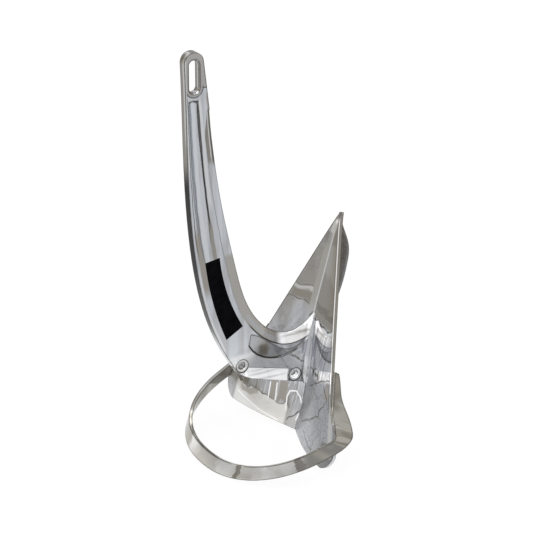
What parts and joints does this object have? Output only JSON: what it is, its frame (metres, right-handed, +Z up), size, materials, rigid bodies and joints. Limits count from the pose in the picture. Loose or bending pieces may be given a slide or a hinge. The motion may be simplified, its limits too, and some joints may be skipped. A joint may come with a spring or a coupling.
{
  "type": "roll bar anchor",
  "caption": "Roll bar anchor of polished steel: curved slotted shank welded into a scooped, pointed fluke with a weighted toe, and a flat hoop over the back that widens into side skids.",
  "frame": {"origin": "centre of the upper round end of the shackle slot, midway through the shank", "axes": "+Z up along the shank to its head, +X from the back of the shank towards the fluke, +Y across the anchor"},
  "size_m": [0.3032, 0.3478, 0.7108],
  "materials": {
    "shank_steel": "mirror-polished stainless steel plate",
    "fluke_steel": "mirror-polished stainless steel plate",
    "ballast_steel": "stainless steel, less polished than the rest",
    "bar_steel": "mirror-polished stainless steel strip",
    "label_film": "black adhesive film"
  },
  "bodies": {
    "root": {"shank": "shank_steel", "fluke": "fluke_steel", "toe_ballast": "ballast_steel", "roll_bar": "bar_steel", "shank_label": "label_film"}
  },
  "joints": []
}
